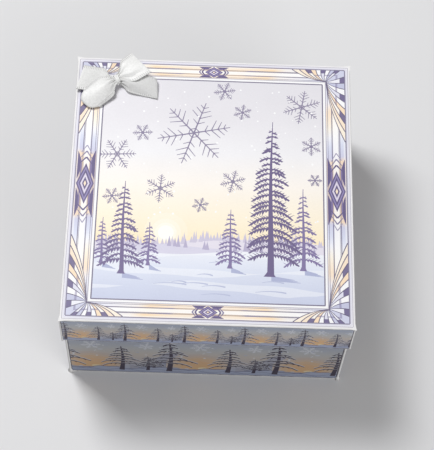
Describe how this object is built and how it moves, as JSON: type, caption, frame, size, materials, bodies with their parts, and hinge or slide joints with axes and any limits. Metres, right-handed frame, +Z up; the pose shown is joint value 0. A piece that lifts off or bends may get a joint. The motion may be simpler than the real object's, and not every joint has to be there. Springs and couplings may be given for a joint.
{
  "type": "lidded gift box",
  "caption": "Near-square gift box folded from printed card: a tray with glued corner tabs, a lift-off lid and a satin ribbon bow on its corner.",
  "frame": {"origin": "on the surface the box stands on, under the middle of the base", "axes": "+X to the right of the front, +Y from the front wall to the back wall, +Z up; the bow is near the lid's back left corner"},
  "size_m": [0.0986, 0.1036, 0.0525],
  "materials": {
    "base_card": "matte coated card, white where bare, printed outside",
    "lid_card": "matte coated card, white where bare, printed outside",
    "satin_ribbon": "white satin, soft sheen"
  },
  "bodies": {
    "base": {"base_tray": "base_card"},
    "lid": {"lid": "lid_card", "bow_ribbon": "satin_ribbon", "bow_knot": "satin_ribbon"}
  },
  "joints": [
    {"name": "lid_lift", "type": "slide", "parent": "base", "child": "lid", "axis": [0, 0, 1], "range_m": [0, 0.05]}
  ]
}
